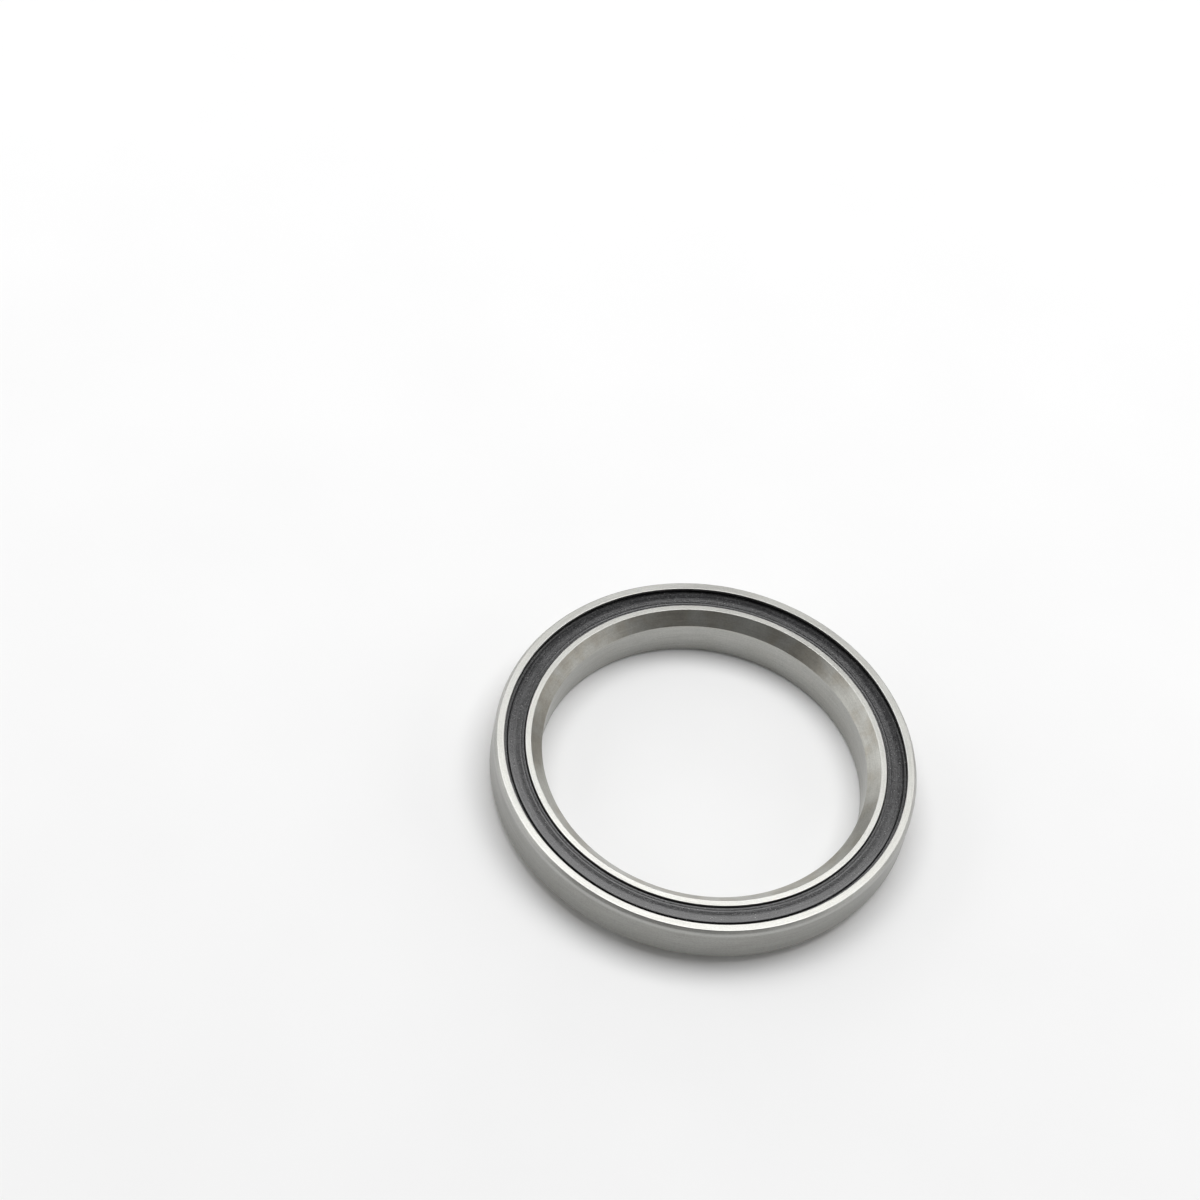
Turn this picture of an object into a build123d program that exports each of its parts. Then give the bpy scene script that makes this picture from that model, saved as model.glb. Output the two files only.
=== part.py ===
"""Sealed thin-section angular contact ball bearing with a 45 degree cone on each ring.

Frame: millimetres, Z is the bearing axis, the origin is the centre of the bearing.
+Z points out of the side whose inner ring carries the cone, -Z out of the side whose outer ring carries it.
"""

import os
from math import cos, radians, sin, sqrt

from build123d import *

# main sizes
OD_R = 26.0
BORE_R = 20.0
WIDTH = 6.5
HALF = WIDTH / 2

# balls and contact
BALL_R = 3.175 / 2
BALL_COUNT = 32
PITCH_R = 23.0
CONTACT_ANGLE = radians(45)
GROOVE_R = 1.68
CONTACT_GAP = 0.03

# outer ring
OUTER_CONE = 1.45
OUTER_LEAD_R = 0.35
OUTER_LEAD_Z = 0.6
OUTER_HIGH_LAND_R = 23.9
OUTER_LOW_LAND_R = 24.55
UPPER_WALL_R = 24.75
LOWER_WALL_R = 24.1
SEAL_GROOVE = 0.25
SEAL_LEDGE = 2.4
SEAL_GROOVE_TOP = 2.95
EDGE_BREAK = 0.08

# inner ring
INNER_CONE = 1.5
INNER_HIGH_LAND_R = 22.2
INNER_LOW_LAND_R = 21.45
BORE_CHAMFER_R = 0.6
BORE_CHAMFER_Z = 0.3

# seals
SEAL_FIT = 0.03
SEAL_SLOT = 2.62
SEAL_CROWN = 2.985
SEAL_RIDGE = 2.99
LIP_GAP = 0.08
LIP_TOP = 3.0
LIP_UNDER = 2.66
INSERT_SHEET = 0.2
INSERT_LEG = 0.2
INSERT_SETBACK = 0.62

# cage
CAGE_INNER_R = 22.4
CAGE_FINGER_R = 23.7
CAGE_RING_R = 24.25
CAGE_TOP = 2.2
CAGE_SHOULDER = 1.2
CAGE_BOTTOM = -0.85
POCKET_R = BALL_R + 0.1

# centres of the two raceway arcs: each lies off the ball centre along the contact line
ARC_OFFSET = GROOVE_R - BALL_R - CONTACT_GAP
OUTER_ARC = (PITCH_R - ARC_OFFSET * cos(CONTACT_ANGLE), ARC_OFFSET * sin(CONTACT_ANGLE))
INNER_ARC = (PITCH_R + ARC_OFFSET * cos(CONTACT_ANGLE), -ARC_OFFSET * sin(CONTACT_ANGLE))


def arc_drop(centre, land_r):
    """Axial distance from a raceway arc's centre to where the arc meets a land of the given radius."""
    return sqrt(GROOVE_R**2 - (land_r - centre[0]) ** 2)


def save(part, name):
    part.label = name
    export_step(part, f"parts/{name}.step")


os.makedirs("parts", exist_ok=True)

# outer ring: high shoulder and cone on the -Z side, open counterbore on the +Z side, a seal seat on both
outer_arc_top = (OUTER_LOW_LAND_R, OUTER_ARC[1] + arc_drop(OUTER_ARC, OUTER_LOW_LAND_R))
outer_arc_mid = (
    OUTER_ARC[0] + GROOVE_R * cos(radians(-20)),
    OUTER_ARC[1] + GROOVE_R * sin(radians(-20)),
)
outer_arc_end = (OUTER_HIGH_LAND_R, OUTER_ARC[1] - arc_drop(OUTER_ARC, OUTER_HIGH_LAND_R))
with BuildPart() as outer_ring:
    with BuildSketch(Plane.XZ):
        with BuildLine():
            Polyline(
                (OD_R - OUTER_LEAD_R, HALF),
                (UPPER_WALL_R + EDGE_BREAK, HALF),
                (UPPER_WALL_R, HALF - EDGE_BREAK),
                (UPPER_WALL_R, SEAL_GROOVE_TOP),
                (UPPER_WALL_R + SEAL_GROOVE, SEAL_GROOVE_TOP - SEAL_GROOVE),
                (UPPER_WALL_R + SEAL_GROOVE, SEAL_LEDGE),
                (OUTER_LOW_LAND_R, SEAL_LEDGE),
                outer_arc_top,
            )
            ThreePointArc(outer_arc_top, outer_arc_mid, outer_arc_end)
            Polyline(
                outer_arc_end,
                (OUTER_HIGH_LAND_R, -SEAL_LEDGE),
                (LOWER_WALL_R + SEAL_GROOVE, -SEAL_LEDGE),
                (LOWER_WALL_R + SEAL_GROOVE, -SEAL_GROOVE_TOP + SEAL_GROOVE),
                (LOWER_WALL_R, -SEAL_GROOVE_TOP),
                (LOWER_WALL_R, -HALF + EDGE_BREAK),
                (LOWER_WALL_R + EDGE_BREAK, -HALF),
                (OD_R - OUTER_CONE, -HALF),
                (OD_R, -HALF + OUTER_CONE),
                (OD_R, HALF - OUTER_LEAD_Z),
                (OD_R - OUTER_LEAD_R, HALF),
            )
        make_face()
    revolve(axis=Axis.Z)
save(outer_ring.part, "outer_ring")

# inner ring: cone and high shoulder on the +Z side, plain bore, low land on the -Z side
inner_arc_top = (INNER_HIGH_LAND_R, INNER_ARC[1] + arc_drop(INNER_ARC, INNER_HIGH_LAND_R))
inner_arc_mid = (
    INNER_ARC[0] - GROOVE_R * cos(radians(20)),
    INNER_ARC[1] + GROOVE_R * sin(radians(20)),
)
inner_arc_end = (INNER_LOW_LAND_R, INNER_ARC[1] - arc_drop(INNER_ARC, INNER_LOW_LAND_R))
with BuildPart() as inner_ring:
    with BuildSketch(Plane.XZ):
        with BuildLine():
            Polyline(
                inner_arc_end,
                (INNER_LOW_LAND_R, -HALF + EDGE_BREAK),
                (INNER_LOW_LAND_R - EDGE_BREAK, -HALF),
                (BORE_R + BORE_CHAMFER_R, -HALF),
                (BORE_R, -HALF + BORE_CHAMFER_Z),
                (BORE_R, HALF - INNER_CONE),
                (BORE_R + INNER_CONE, HALF),
                (INNER_HIGH_LAND_R - EDGE_BREAK, HALF),
                (INNER_HIGH_LAND_R, HALF - EDGE_BREAK),
                inner_arc_top,
            )
            ThreePointArc(inner_arc_top, inner_arc_mid, inner_arc_end)
        make_face()
    revolve(axis=Axis.Z)
save(inner_ring.part, "inner_ring")

# balls, each at its place on the pitch circle
for n in range(BALL_COUNT):
    angle = radians(360 * n / BALL_COUNT)
    with BuildPart() as ball:
        with Locations((PITCH_R * cos(angle), PITCH_R * sin(angle), 0)):
            Sphere(BALL_R)
    save(ball.part, f"ball_{n + 1:02d}")

# cage: a moulded crown, its closed rim on the +Z side and its pockets open towards -Z
with BuildPart() as ball_cage:
    with BuildSketch(Plane.XZ):
        with BuildLine():
            Polyline(
                (CAGE_INNER_R, CAGE_BOTTOM),
                (CAGE_FINGER_R, CAGE_BOTTOM),
                (CAGE_FINGER_R, CAGE_SHOULDER),
                (CAGE_RING_R, CAGE_SHOULDER + CAGE_RING_R - CAGE_FINGER_R),
                (CAGE_RING_R, CAGE_TOP),
                (CAGE_INNER_R, CAGE_TOP),
                close=True,
            )
        make_face()
    revolve(axis=Axis.Z)
    with PolarLocations(PITCH_R, BALL_COUNT):
        Sphere(POCKET_R, mode=Mode.SUBTRACT)
save(ball_cage.part, "ball_cage")


def insert_profile(wall_r, land_r):
    """Inner and outer radius of a seal's steel insert and the height of its bent rim's end."""
    return land_r + 0.75, wall_r - INSERT_SETBACK, SEAL_LEDGE + INSERT_SHEET + INSERT_LEG


def make_seal(name, side, wall_r, land_r):
    """Rubber seal whose bead sits in the outer ring's groove; side is +1 or -1 along Z.

    From the bead inwards: an open slot beside the ring, a broad crowned band, a fine ridge, and the thin lip.
    """
    inset_r, leg_r, leg_z = insert_profile(wall_r, land_r)
    bead_r = wall_r + SEAL_GROOVE - SEAL_FIT
    points = [
        (bead_r - 0.1, SEAL_LEDGE),
        (bead_r, SEAL_LEDGE + 0.1),
        (bead_r, SEAL_SLOT - 0.04),
        (bead_r - 0.04, SEAL_SLOT),
        (wall_r - 0.35, SEAL_SLOT),
        (wall_r - 0.47, SEAL_CROWN - 0.085),
        (wall_r - 0.65, SEAL_CROWN - 0.04),
        (wall_r - 0.95, SEAL_CROWN - 0.02),
        (land_r + 1.25, SEAL_CROWN),
        (land_r + 0.65, SEAL_CROWN - 0.015),
        (land_r + 0.56, SEAL_RIDGE),
        (land_r + 0.44, SEAL_RIDGE),
        (land_r + 0.35, SEAL_RIDGE - 0.025),
        (land_r + LIP_GAP + 0.06, LIP_TOP),
        (land_r + LIP_GAP, LIP_TOP - 0.06),
        (land_r + LIP_GAP, LIP_UNDER),
        (land_r + 0.4, SEAL_LEDGE),
        (inset_r, SEAL_LEDGE),
        (inset_r, SEAL_LEDGE + INSERT_SHEET),
        (leg_r - INSERT_SHEET, SEAL_LEDGE + INSERT_SHEET),
        (leg_r - INSERT_SHEET, leg_z),
        (leg_r, leg_z),
        (leg_r, SEAL_LEDGE),
    ]
    with BuildPart() as seal:
        with BuildSketch(Plane.XZ):
            with BuildLine():
                Polyline([(r, side * z) for r, z in points], close=True)
            make_face()
        revolve(axis=Axis.Z)
    save(seal.part, name)


def make_insert(name, side, wall_r, land_r):
    """Pressed steel stiffener bonded into the inner face of a seal, its rim bent up into the rubber."""
    inset_r, leg_r, leg_z = insert_profile(wall_r, land_r)
    points = [
        (inset_r, SEAL_LEDGE),
        (leg_r, SEAL_LEDGE),
        (leg_r, leg_z),
        (leg_r - INSERT_SHEET, leg_z),
        (leg_r - INSERT_SHEET, SEAL_LEDGE + INSERT_SHEET),
        (inset_r, SEAL_LEDGE + INSERT_SHEET),
    ]
    with BuildPart() as insert:
        with BuildSketch(Plane.XZ):
            with BuildLine():
                Polyline([(r, side * z) for r, z in points], close=True)
            make_face()
        revolve(axis=Axis.Z)
    save(insert.part, name)


# seals and their inserts, one pair on each side
make_seal("upper_seal", 1, UPPER_WALL_R, INNER_HIGH_LAND_R)
make_insert("upper_seal_insert", 1, UPPER_WALL_R, INNER_HIGH_LAND_R)
make_seal("lower_seal", -1, LOWER_WALL_R, INNER_LOW_LAND_R)
make_insert("lower_seal_insert", -1, LOWER_WALL_R, INNER_LOW_LAND_R)
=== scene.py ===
"""Looks of a sealed 40 x 52 x 6.5 mm angular contact bearing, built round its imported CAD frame.

The rings and the rubber seals are lathed again here with rounded edges and exact normals.
They stay within 0.05 mm of the CAD; the seals' ridge and lip are flatter than in part.py.
The balls, the cage and the seal inserts keep their CAD meshes.
Profiles are written in millimetres as (r, z).
"""

import math

import bmesh
import bpy
from mathutils import Matrix, Vector


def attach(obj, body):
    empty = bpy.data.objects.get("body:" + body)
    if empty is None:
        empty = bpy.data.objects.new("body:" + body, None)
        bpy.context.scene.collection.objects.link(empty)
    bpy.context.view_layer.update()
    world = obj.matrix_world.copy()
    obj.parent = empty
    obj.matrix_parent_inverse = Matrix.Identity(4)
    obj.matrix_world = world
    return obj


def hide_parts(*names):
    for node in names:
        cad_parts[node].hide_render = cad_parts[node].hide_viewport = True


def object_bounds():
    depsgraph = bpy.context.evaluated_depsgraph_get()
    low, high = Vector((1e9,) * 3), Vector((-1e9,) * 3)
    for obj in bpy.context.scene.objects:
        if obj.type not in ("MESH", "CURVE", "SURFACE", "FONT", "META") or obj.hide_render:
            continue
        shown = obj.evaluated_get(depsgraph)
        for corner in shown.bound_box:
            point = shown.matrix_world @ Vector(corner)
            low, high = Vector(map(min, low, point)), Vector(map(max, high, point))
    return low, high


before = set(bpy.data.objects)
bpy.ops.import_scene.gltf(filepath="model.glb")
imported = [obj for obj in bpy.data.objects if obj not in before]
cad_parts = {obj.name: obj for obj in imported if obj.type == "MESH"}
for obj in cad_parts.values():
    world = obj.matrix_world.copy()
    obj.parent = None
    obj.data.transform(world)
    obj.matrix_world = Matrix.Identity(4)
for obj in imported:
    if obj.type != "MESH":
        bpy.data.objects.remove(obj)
cad_low, cad_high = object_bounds()

MM = 0.001
SEGMENTS = 256
FLOOR_Z = cad_low.z
FLOOR_REACH = 3.0

# ---------------------------------------------------------------- sizes, as in part.py
# but for SEAL_RIDGE and SEAL_HOLLOW, which part.py has higher
OD_R = 26.0
BORE_R = 20.0
HALF = 3.25
OUTER_CONE = 1.45
INNER_CONE = 1.5
OUTER_LEAD_R, OUTER_LEAD_Z = 0.35, 0.6
BORE_CHAMFER_R, BORE_CHAMFER_Z = 0.6, 0.3

# raceways: each arc's centre lies off the ball's centre along the 45 degree contact line
BALL_R = 1.5875
PITCH_R = 23.0
GROOVE_R = 1.68
CONTACT_GAP = 0.03
ARC_OFFSET = (GROOVE_R - BALL_R - CONTACT_GAP) * math.sqrt(0.5)
OUTER_ARC = (PITCH_R - ARC_OFFSET, ARC_OFFSET)
INNER_ARC = (PITCH_R + ARC_OFFSET, -ARC_OFFSET)
OUTER_LOW_LAND, OUTER_HIGH_LAND = 24.55, 23.9
INNER_LOW_LAND, INNER_HIGH_LAND = 21.45, 22.2

# seal seats, seals and their inserts
UPPER_WALL, LOWER_WALL = 24.75, 24.1
SEAL_LEDGE = 2.4
SEAL_GROOVE = 0.25
SEAL_GROOVE_TOP = 2.95
SEAL_FIT = 0.03
SEAL_SLOT = 2.62
SEAL_BAND = 2.985
SEAL_RIDGE = 2.972
SEAL_HOLLOW = 2.957
LIP_GAP = 0.08
LIP_UNDER = 2.66
INSERT_SHEET = 0.2
INSERT_TOP = 2.8
INSERT_SETBACK = 0.62

# ---------------------------------------------------------------- mesh detail
# the paler convex edges, partly wear and partly a painted highlight, fade out over this width
EDGE_WEAR_AND_HIGHLIGHT_REACH = 0.07
RACEWAY_STEPS = 16
FILLET_STEP = math.radians(20)
STRAIGHT = 0.02

# values of the face attribute region; 0 is a plain ground face, and the value for the outer wall
# brings a painted shade
CONE, RACE, SHADED_WALL = 1.0, 2.0, 3.0


# ---------------------------------------------------------------- lathe
class Corner:
    """One corner of a profile; region tags the face between this corner and the next."""

    def __init__(self, r, z, fillet=0.02, region=0.0, smooth=False):
        self.r, self.z, self.fillet, self.region, self.smooth = r, z, fillet, region, smooth


def raceway(centre, upper_land, lower_land):
    """Corners down a raceway arc, from its meeting with the upper land to that with the lower."""

    def angle(land, up):
        dr = land - centre[0]
        a = math.atan2(up * math.sqrt(GROOVE_R**2 - dr**2), dr)
        return a + 2 * math.pi if centre is INNER_ARC and a < 0 else a

    start, end = angle(upper_land, 1), angle(lower_land, -1)
    for k in range(RACEWAY_STEPS + 1):
        a = start + (end - start) * k / RACEWAY_STEPS
        yield Corner(
            centre[0] + GROOVE_R * math.cos(a),
            centre[1] + GROOVE_R * math.sin(a),
            fillet=0.03,
            region=RACE,
            smooth=0 < k < RACEWAY_STEPS,
        )


def outline(corners):
    """The closed profile, its corners rounded: points (r, z, normal r, normal z, edge mark,
    region).

    The edge mark is 1 round a convex edge and 0 elsewhere; it makes those edges paler, partly as
    wear and partly as a painted highlight.
    """
    area = 0.0
    count = len(corners)
    for k, c in enumerate(corners):
        n = corners[(k + 1) % count]
        area += c.r * n.z - n.r * c.z
    if area < 0:
        regions = [corners[(k - 1) % count].region for k in range(count)]
        for c, region in zip(corners, regions):
            c.region = region
        corners = corners[::-1]
    points = []
    for k, c in enumerate(corners):
        before, after = corners[k - 1], corners[(k + 1) % count]
        back = Vector((before.r - c.r, before.z - c.z))
        ahead = Vector((after.r - c.r, after.z - c.z))
        reach = 0.45 * min(back.length, ahead.length)
        back.normalize()
        ahead.normalize()
        normal_in = Vector((-back.y, back.x))
        normal_out = Vector((ahead.y, -ahead.x))
        turn = normal_in.angle_signed(normal_out)
        if c.smooth or abs(turn) < STRAIGHT:
            n = (normal_in + normal_out).normalized()
            points.append((c.r, c.z, n.x, n.y, 0.0, c.region))
            continue
        half = (math.pi - abs(turn)) / 2
        tangent = min(c.fillet / math.tan(half), reach)
        radius = tangent * math.tan(half)
        convex = 1.0 if turn < 0 else -1.0
        start = Vector((c.r, c.z)) + back * tangent
        centre = start - normal_in * radius * convex
        steps = max(3, math.ceil(abs(turn) / FILLET_STEP))
        for s in range(steps + 1):
            n = Matrix.Rotation(-turn * s / steps, 2) @ normal_in
            p = centre + n * radius * convex
            # convex edges get the edge mark, which paints them paler: partly wear, partly a
            # painted highlight
            edge_wear_and_highlight = 0.0 if convex < 0 else (0.5 if s in (0, steps) else 1.0)
            region = before.region if s < steps else c.region
            points.append((p.x, p.y, n.x, n.y, edge_wear_and_highlight, region))
    return points


def with_support(points, gap):
    """Adds points a little way in from both ends of each long flat, where the paler edge, partly
    wear and partly painted highlight, fades out.
    """
    out = []
    count = len(points)
    for k, p in enumerate(points):
        q = points[(k + 1) % count]
        out.append(p)
        length = math.hypot(q[0] - p[0], q[1] - p[1])
        if length > 4 * gap and (p[4] or q[4]):
            for share, near in ((gap / length, p), (1 - gap / length, q)):
                r = p[0] + (q[0] - p[0]) * share
                z = p[1] + (q[1] - p[1]) * share
                out.append((r, z, near[2], near[3], 0.0, p[5]))
    return out


def lathe(name, corners, body, material):
    """A closed ring turned about Z, with exact normals and the attributes for the edge mark (wear
    and painted highlight) and region.
    """
    points = with_support(outline(corners), EDGE_WEAR_AND_HIGHLIGHT_REACH)
    bm = bmesh.new()
    rings = []
    for r, z, *_ in points:
        ring = []
        for j in range(SEGMENTS):
            a = 2 * math.pi * j / SEGMENTS
            ring.append(bm.verts.new((r * math.cos(a) * MM, r * math.sin(a) * MM, z * MM)))
        rings.append(ring)
    regions = []
    count = len(points)
    for i in range(count):
        low, high = rings[i], rings[(i + 1) % count]
        for j in range(SEGMENTS):
            k = (j + 1) % SEGMENTS
            face = bm.faces.new((low[j], low[k], high[k], high[j]))
            face.smooth = True
            regions.append(points[i][5])
    mesh = bpy.data.meshes.new(name)
    bm.to_mesh(mesh)
    bm.free()
    normals, edge_wear_and_highlight = [], []
    for _, _, nr, nz, edge, _ in points:
        for j in range(SEGMENTS):
            a = 2 * math.pi * j / SEGMENTS
            normals.append((nr * math.cos(a), nr * math.sin(a), nz))
            edge_wear_and_highlight.append(edge)
    mesh.normals_split_custom_set_from_vertices(normals)
    mesh.attributes.new("edge_wear_and_highlight", "FLOAT", "POINT").data.foreach_set("value", edge_wear_and_highlight)
    mesh.attributes.new("region", "FLOAT", "FACE").data.foreach_set("value", regions)
    mesh.materials.append(material)
    obj = bpy.data.objects.new(name, mesh)
    bpy.context.scene.collection.objects.link(obj)
    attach(obj, body)
    return obj


# ---------------------------------------------------------------- materials
class Nodes:
    """Small helper for building a material's node tree."""

    def __init__(self, name):
        self.material = bpy.data.materials.new(name)
        self.material.use_nodes = True
        self.tree = self.material.node_tree
        self.tree.nodes.clear()
        self.shader = self.tree.nodes.new("ShaderNodeBsdfPrincipled")
        out = self.tree.nodes.new("ShaderNodeOutputMaterial")
        self.link(self.shader.outputs["BSDF"], out.inputs["Surface"])

    def link(self, a, b):
        self.tree.links.new(a, b)

    def _feed(self, socket, value):
        if isinstance(value, bpy.types.NodeSocket):
            self.link(value, socket)
        elif value is not None:
            socket.default_value = value

    def math(self, op, a, b=None, c=None):
        node = self.tree.nodes.new("ShaderNodeMath")
        node.operation = op
        for socket, value in zip(node.inputs, (a, b, c)):
            self._feed(socket, value)
        return node.outputs[0]

    def attribute(self, name):
        node = self.tree.nodes.new("ShaderNodeAttribute")
        node.attribute_name = name
        return node.outputs["Fac"]

    def position(self):
        return self.tree.nodes.new("ShaderNodeTexCoord").outputs["Object"]

    def noise(self, vector, scale, detail=2.0, roughness=0.5):
        node = self.tree.nodes.new("ShaderNodeTexNoise")
        node.inputs["Scale"].default_value = scale
        node.inputs["Detail"].default_value = detail
        node.inputs["Roughness"].default_value = roughness
        self.link(vector, node.inputs["Vector"])
        return node.outputs["Fac"]

    def turned(self, around, across):
        """Coordinates for marks that run round the axis: slow along them, quick across them."""
        split = self.tree.nodes.new("ShaderNodeSeparateXYZ")
        self.link(self.position(), split.inputs[0])
        x, y, z = split.outputs
        squares = self.math("ADD", self.math("MULTIPLY", x, x), self.math("MULTIPLY", y, y))
        r = self.math("SQRT", squares)
        join = self.tree.nodes.new("ShaderNodeCombineXYZ")
        self.link(self.math("MULTIPLY", self.math("DIVIDE", x, r), around), join.inputs[0])
        self.link(self.math("MULTIPLY", self.math("DIVIDE", y, r), around), join.inputs[1])
        # r and z together, in unlike shares, so that the marks are fine on faces, walls and cones
        along = self.math("MULTIPLY_ADD", z, 0.7, r)
        self.link(self.math("MULTIPLY", along, across), join.inputs[2])
        return join.outputs[0]

    def ramp(self, fac, stops):
        node = self.tree.nodes.new("ShaderNodeValToRGB")
        elements = node.color_ramp.elements
        while len(elements) > 1:
            elements.remove(elements[-1])
        for k, (at, colour) in enumerate(stops):
            element = elements[0] if k == 0 else elements.new(at)
            element.position = at
            element.color = (*colour, 1.0)
        self.link(fac, node.inputs[0])
        return node.outputs[0]

    def spread(self, fac, low, high, to_low=0.0, to_high=1.0):
        """Maps low..high to to_low..to_high, held at the ends."""
        node = self.tree.nodes.new("ShaderNodeMapRange")
        self.link(fac, node.inputs[0])
        for k, value in enumerate((low, high, to_low, to_high), start=1):
            node.inputs[k].default_value = value
        return node.outputs[0]

    def blend(self, fac, a, b, mode="MIX"):
        """Colour a with b mixed or multiplied in by fac."""
        node = self.tree.nodes.new("ShaderNodeMix")
        node.data_type = "RGBA"
        node.blend_type = mode
        self._feed(node.inputs["Factor"], fac)
        for key, value in (("A", a), ("B", b)):
            socket = [s for s in node.inputs if s.name == key and s.type == "RGBA"][0]
            if isinstance(value, tuple):
                value = (*value, 1.0)
            self._feed(socket, value)
        return [s for s in node.outputs if s.type == "RGBA"][0]

    def bump(self, height, distance):
        node = self.tree.nodes.new("ShaderNodeBump")
        node.inputs["Distance"].default_value = distance
        self.link(height, node.inputs["Height"])
        return node.outputs["Normal"]

    def set(self, **values):
        """Values and links for the shader's sockets; an underscore stands for a space."""
        for key, value in values.items():
            socket = self.shader.inputs[key.replace("_", " ")]
            if isinstance(value, tuple) and socket.type == "RGBA":
                value = (*value, 1.0)
            self._feed(socket, value)
        return self.material


# any smoother, and the denoiser takes single points for mirrors and leaves dark specks
STEEL_SMOOTHEST = 0.278


def ground_steel(name, tint):
    """Satin ground bearing steel: fine marks round the axis, cones darker and browner in patches,
    paler edges that are partly wear and partly a painted highlight, and a painted shade on the
    outer wall.
    """
    n = Nodes(name)
    marks = n.noise(n.turned(6.0, 9000.0), 1.0, 3.0, 0.6)
    bands = n.noise(n.turned(3.0, 2200.0), 1.0, 1.0)
    grain = n.noise(n.position(), 5200.0, 2.0, 0.6)
    cloud = n.noise(n.position(), 260.0, 3.0, 0.55)
    patches = n.noise(n.position(), 190.0, 4.0, 0.6)
    edge_wear_and_highlight = n.attribute("edge_wear_and_highlight")
    region = n.attribute("region")
    cone = n.math("COMPARE", region, CONE, 0.5)
    wall = n.math("COMPARE", region, SHADED_WALL, 0.5)
    r, g, b = tint
    base = n.ramp(
        n.math("MULTIPLY_ADD", marks, 0.5, n.math("MULTIPLY", grain, 0.5)),
        [
            (0.30, (0.80 * r, 0.80 * g, 0.80 * b)),
            (0.50, (r, g, b)),
            (0.70, (1.18 * r, 1.18 * g, 1.18 * b)),
        ],
    )
    haze = n.spread(cloud, 0.38, 0.66, 0.0, 0.10)
    clouded = n.blend(haze, base, (0.80, 0.74, 0.66), "MULTIPLY")
    # the cones are darker and browner in patches
    cone_mottle = n.ramp(
        patches,
        [
            (0.34, (1.12, 1.12, 1.10)),
            (0.46, (1.0, 0.99, 0.97)),
            (0.56, (0.89, 0.85, 0.79)),
            (0.68, (0.72, 0.70, 0.67)),
        ],
    )
    mottled = n.blend(cone, clouded, n.blend(1.0, clouded, cone_mottle, "MULTIPLY"))
    # painted shade: the outer wall's colour is multiplied by 0.8 to darken it
    wall_shaded = n.blend(wall, mottled, (0.80, 0.80, 0.80), "MULTIPLY")
    # paler convex edges: partly edge wear, partly a painted highlight
    colour = n.blend(n.math("MULTIPLY", edge_wear_and_highlight, 0.25), wall_shaded, (0.62, 0.62, 0.61))
    rough = n.math(
        "ADD",
        n.spread(bands, 0.3, 0.7, 0.29, 0.36),
        n.spread(grain, 0.3, 0.7, -0.012, 0.020),
    )
    rough = n.math("MAXIMUM", n.math("MULTIPLY_ADD", edge_wear_and_highlight, -0.04, rough), STEEL_SMOOTHEST)
    height = n.math("MULTIPLY_ADD", grain, 0.5, marks)
    return n.set(
        Base_Color=colour,
        Metallic=1.0,
        Roughness=rough,
        Normal=n.bump(height, 0.0000025),
    )


def seal_rubber(name):
    """Moulded nitrile rubber: black with a dull sheen, fine speckle, faint rings, some dust and
    paler edges that are partly wear and partly a painted highlight.
    """
    n = Nodes(name)
    speck = n.noise(n.position(), 4200.0, 3.0, 0.65)
    fine = n.noise(n.position(), 11000.0, 2.0, 0.6)
    streaks = n.noise(n.turned(7.0, 6500.0), 1.0, 3.0, 0.6)
    cloud = n.noise(n.position(), 300.0, 2.0)
    edge_wear_and_highlight = n.attribute("edge_wear_and_highlight")
    grain = n.math("ADD", n.math("MULTIPLY", speck, 0.55), n.math("MULTIPLY", fine, 0.45))
    mixed = n.math("ADD", n.math("MULTIPLY", grain, 0.65), n.math("MULTIPLY", streaks, 0.35))
    base = n.ramp(
        mixed,
        [
            (0.40, (0.003, 0.003, 0.004)),
            (0.50, (0.009, 0.009, 0.010)),
            (0.62, (0.046, 0.046, 0.048)),
        ],
    )
    dust = n.spread(n.noise(n.position(), 6200.0, 1.0), 0.70, 0.76)
    dusted = n.blend(n.math("MULTIPLY", dust, 0.6), base, (0.34, 0.34, 0.33))
    # paler grey convex edges: partly rubbed wear, partly a painted highlight
    colour = n.blend(n.math("MULTIPLY", edge_wear_and_highlight, 0.3), dusted, (0.06, 0.06, 0.062))
    rough = n.math(
        "ADD",
        n.spread(cloud, 0.3, 0.7, 0.16, 0.22),
        n.spread(speck, 0.3, 0.7, -0.05, 0.07),
    )
    height = n.math("MULTIPLY_ADD", streaks, 0.7, n.math("MULTIPLY_ADD", fine, 0.4, speck))
    return n.set(
        Base_Color=colour,
        Roughness=rough,
        Specular_IOR_Level=0.66,
        Normal=n.bump(height, 0.000011),
    )


def ball_steel(name):
    """Lapped chrome steel: mirror bright, with the faintest haze and running marks."""
    n = Nodes(name)
    haze = n.noise(n.position(), 1800.0, 3.0)
    scratch = n.noise(n.position(), 16000.0, 2.0, 0.7)
    colour = n.ramp(haze, [(0.35, (0.60, 0.60, 0.61)), (0.65, (0.70, 0.70, 0.71))])
    return n.set(
        Base_Color=colour,
        Metallic=1.0,
        Roughness=n.spread(haze, 0.3, 0.7, 0.05, 0.12),
        Normal=n.bump(scratch, 0.0000004),
    )


def cage_nylon(name):
    """Moulded glass-filled nylon, ivory brown, with short fibres under a dull skin."""
    n = Nodes(name)
    fibre = n.noise(n.position(), 5200.0, 4.0, 0.7)
    cloud = n.noise(n.position(), 700.0, 2.0)
    base = n.ramp(cloud, [(0.3, (0.50, 0.42, 0.27)), (0.7, (0.64, 0.56, 0.39))])
    colour = n.blend(n.spread(fibre, 0.55, 0.75, 0.0, 0.5), base, (0.74, 0.68, 0.54))
    return n.set(
        Base_Color=colour,
        Roughness=n.spread(fibre, 0.3, 0.7, 0.42, 0.60),
        Subsurface_Weight=0.1,
        Subsurface_Scale=0.0005,
        Normal=n.bump(fibre, 0.000008),
    )


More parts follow.
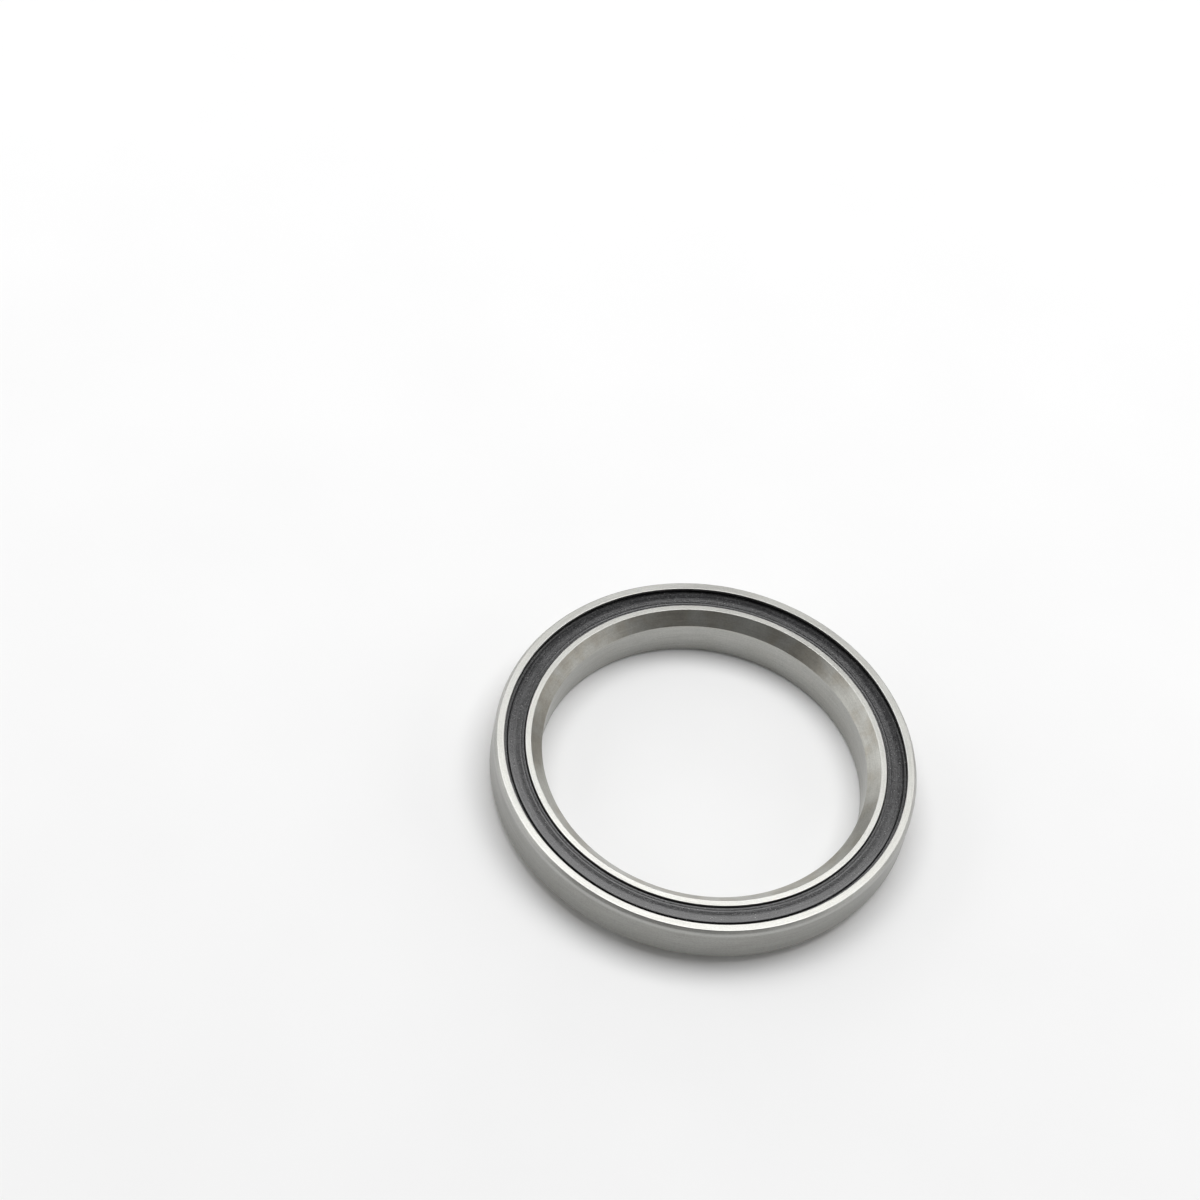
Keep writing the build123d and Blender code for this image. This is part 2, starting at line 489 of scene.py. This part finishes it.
def pressed_steel(name):
    """Cold-rolled strip for the seal inserts: rolling grain and a thin phosphate haze."""
    n = Nodes(name)
    roll = n.noise(n.turned(20.0, 5200.0), 1.0, 3.0)
    haze = n.noise(n.position(), 900.0, 3.0)
    colour = n.ramp(haze, [(0.3, (0.30, 0.30, 0.31)), (0.7, (0.46, 0.46, 0.45))])
    return n.set(
        Base_Color=colour,
        Metallic=1.0,
        Roughness=n.spread(roll, 0.3, 0.7, 0.34, 0.52),
        Normal=n.bump(roll, 0.000003),
    )


ring_steel = ground_steel("ground_ring_steel", (0.435, 0.435, 0.413))
rubber = seal_rubber("moulded_seal_rubber")
ball_material = ball_steel("lapped_ball_steel")
cage_material = cage_nylon("moulded_cage_nylon")
insert_material = pressed_steel("pressed_insert_steel")

# ---------------------------------------------------------------- rings
UPPER_GROOVE, LOWER_GROOVE = UPPER_WALL + SEAL_GROOVE, LOWER_WALL + SEAL_GROOVE
GROOVE_SHOULDER = SEAL_GROOVE_TOP - SEAL_GROOVE

outer = [
    Corner(OD_R, HALF - OUTER_LEAD_Z, 1.5),
    Corner(OD_R - OUTER_LEAD_R, HALF, 0.16),
    Corner(UPPER_WALL, HALF, 0.09),
    Corner(UPPER_WALL, SEAL_GROOVE_TOP, 0.04),
    Corner(UPPER_GROOVE, GROOVE_SHOULDER, 0.04),
    Corner(UPPER_GROOVE, SEAL_LEDGE, 0.02),
    Corner(OUTER_LOW_LAND, SEAL_LEDGE, 0.03),
    *raceway(OUTER_ARC, OUTER_LOW_LAND, OUTER_HIGH_LAND),
    Corner(OUTER_HIGH_LAND, -SEAL_LEDGE, 0.03),
    Corner(LOWER_GROOVE, -SEAL_LEDGE, 0.02),
    Corner(LOWER_GROOVE, -GROOVE_SHOULDER, 0.04),
    Corner(LOWER_WALL, -SEAL_GROOVE_TOP, 0.04),
    Corner(LOWER_WALL, -HALF, 0.09),
    Corner(OD_R - OUTER_CONE, -HALF, 0.12, CONE),
    # this tag gives the outer wall and its rounding into the top chamfer the painted shade
    Corner(OD_R, OUTER_CONE - HALF, 0.15, SHADED_WALL),
]
inner = [
    *raceway(INNER_ARC, INNER_HIGH_LAND, INNER_LOW_LAND),
    Corner(INNER_LOW_LAND, -HALF, 0.09),
    Corner(BORE_R + BORE_CHAMFER_R, -HALF, 0.05),
    Corner(BORE_R, BORE_CHAMFER_Z - HALF, 0.05),
    Corner(BORE_R, HALF - INNER_CONE, 0.15, CONE),
    Corner(BORE_R + INNER_CONE, HALF, 0.07),
    Corner(INNER_HIGH_LAND, HALF, 0.09),
]
outer_ring = lathe("outer_ring_turned", outer, "outer_ring_and_seals", ring_steel)
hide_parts("outer_ring")
inner_ring = lathe("inner_ring_turned", inner, "inner_ring", ring_steel)
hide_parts("inner_ring")


# ---------------------------------------------------------------- seals
def seal_profile(side, wall, land):
    """Corners of a seal, from its bead inwards and back under; side is +1 or -1 along Z.

    Each row is (r, z, fillet).
    """
    bead = wall + SEAL_GROOVE - SEAL_FIT
    lip = land + LIP_GAP
    inset, leg = land + 0.75, wall - INSERT_SETBACK
    sheet = SEAL_LEDGE + INSERT_SHEET
    shape = [
        # bead and open slot
        (bead - 0.1, SEAL_LEDGE, 0.03),
        (bead, SEAL_LEDGE + 0.1, 0.04),
        (bead, SEAL_SLOT - 0.04, 0.02),
        (bead - 0.04, SEAL_SLOT, 0.02),
        (wall - 0.35, SEAL_SLOT, 0.06),
        # crowned band
        (wall - 0.47, SEAL_BAND - 0.085, 0.06),
        (wall - 0.65, SEAL_BAND - 0.04, 0.4),
        (wall - 0.95, SEAL_BAND - 0.02, 8.0),
        (land + 1.25, SEAL_BAND, 8.0),
        (land + 0.65, SEAL_BAND - 0.023, 0.15),
        # fine ridge and lip, flatter than in part.py
        (land + 0.56, SEAL_RIDGE, 0.10),
        (land + 0.47, SEAL_RIDGE, 0.10),
        (land + 0.38, SEAL_HOLLOW, 0.15),
        (lip + 0.06, SEAL_HOLLOW, 0.05),
        (lip, SEAL_HOLLOW - 0.057, 0.03),
        (lip, LIP_UNDER, 0.02),
        (land + 0.4, SEAL_LEDGE, 0.04),
        # recess for the insert
        (inset, SEAL_LEDGE, 0.004),
        (inset, sheet, 0.004),
        (leg - INSERT_SHEET, sheet, 0.004),
        (leg - INSERT_SHEET, INSERT_TOP, 0.004),
        (leg, INSERT_TOP, 0.004),
        (leg, SEAL_LEDGE, 0.004),
    ]
    return [Corner(r, side * z, fillet) for r, z, fillet in shape]


for label, side, wall, land in (
    ("upper_seal", 1, UPPER_WALL, INNER_HIGH_LAND),
    ("lower_seal", -1, LOWER_WALL, INNER_LOW_LAND),
):
    corners = seal_profile(side, wall, land)
    seal = lathe(label + "_moulded", corners, "outer_ring_and_seals", rubber)
    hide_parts(label)

# ---------------------------------------------------------------- carried-over CAD nodes
for name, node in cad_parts.items():
    if name == "ball_cage":
        finish = cage_material
    elif name.startswith("ball_"):
        finish = ball_material
    elif name.endswith("_insert"):
        finish = insert_material
    else:
        continue
    for material_slot in node.material_slots:
        material_slot.material = finish


# ---------------------------------------------------------------- floor, light and camera
def area_light(name, direction, distance, size, radiance):
    """A soft rectangular light facing the bearing; radiance is what a mirror would see of it."""
    light = bpy.data.lights.new(name, "AREA")
    light.shape = "RECTANGLE"
    light.size, light.size_y = size
    light.energy = radiance * 4 * size[0] * size[1]
    obj = bpy.data.objects.new(name, light)
    bpy.context.scene.collection.objects.link(obj)
    towards = Vector(direction).normalized()
    obj.location = towards * distance
    obj.rotation_mode = "QUATERNION"
    obj.rotation_quaternion = towards.to_track_quat("Z", "Y")


def pale_floor():
    """A flat painted floor that the bearing lies on."""
    bm = bmesh.new()
    bmesh.ops.create_grid(bm, x_segments=8, y_segments=8, size=FLOOR_REACH)
    mesh = bpy.data.meshes.new("studio_floor")
    bm.to_mesh(mesh)
    bm.free()
    n = Nodes("studio_floor_paint")
    soft = n.noise(n.position(), 40.0, 2.0)
    n.set(
        Base_Color=n.ramp(soft, [(0.3, (0.885, 0.885, 0.885)), (0.7, (0.90, 0.90, 0.90))]),
        Roughness=0.9,
        Specular_IOR_Level=0.1,
    )
    mesh.materials.append(n.material)
    obj = bpy.data.objects.new("studio_floor", mesh)
    obj.location.z = FLOOR_Z
    bpy.context.scene.collection.objects.link(obj)


pale_floor()

WORLD_STRENGTH = 0.18
world = bpy.data.worlds.new("studio")
world.use_nodes = True
background = world.node_tree.nodes["Background"]
background.inputs["Color"].default_value = (1.0, 1.0, 1.0, 1.0)
background.inputs["Strength"].default_value = WORLD_STRENGTH
bpy.context.scene.world = world

# the low panels stay below the directions that the flat faces and the seals mirror
area_light("overhead_softbox", (0.0, 0.268, 0.963), 0.8, (1.0, 0.54), 2.9)
area_light("back_panel", (0.0, 1.0, 0.23), 0.9, (1.6, 0.32), 1.0)
area_light("left_panel", (-1.0, 0.05, 0.35), 0.7, (1.1, 0.5), 0.80)
area_light("right_panel", (0.95, 0.2, 0.3), 0.7, (0.8, 0.5), 0.60)

# the place, aim, lens and roll that fit the bearing's outline to the photograph's viewing angle
LENS = 108.0
ROLL = math.radians(12.248)
camera_data = bpy.data.cameras.new("camera")
camera_data.lens = LENS
camera_data.sensor_width = 36.0
camera_data.clip_start = 0.01
camera = bpy.data.objects.new("camera", camera_data)
bpy.context.scene.collection.objects.link(camera)
bpy.context.scene.camera = camera
eye = Vector((-0.0001, -0.258738, 0.355745))
target = Vector((-0.018111, 0.023265, FLOOR_Z))
forward = (target - eye).normalized()
flat_right = forward.cross(Vector((0, 0, 1))).normalized()
flat_up = flat_right.cross(forward)
right = math.cos(ROLL) * flat_right + math.sin(ROLL) * flat_up
up = -math.sin(ROLL) * flat_right + math.cos(ROLL) * flat_up
camera.matrix_world = Matrix(
    (
        (right.x, up.x, -forward.x, eye.x),
        (right.y, up.y, -forward.y, eye.y),
        (right.z, up.z, -forward.z, eye.z),
        (0, 0, 0, 1),
    )
)

bpy.context.scene.view_settings.view_transform = "Standard"
bpy.context.scene.view_settings.look = "None"
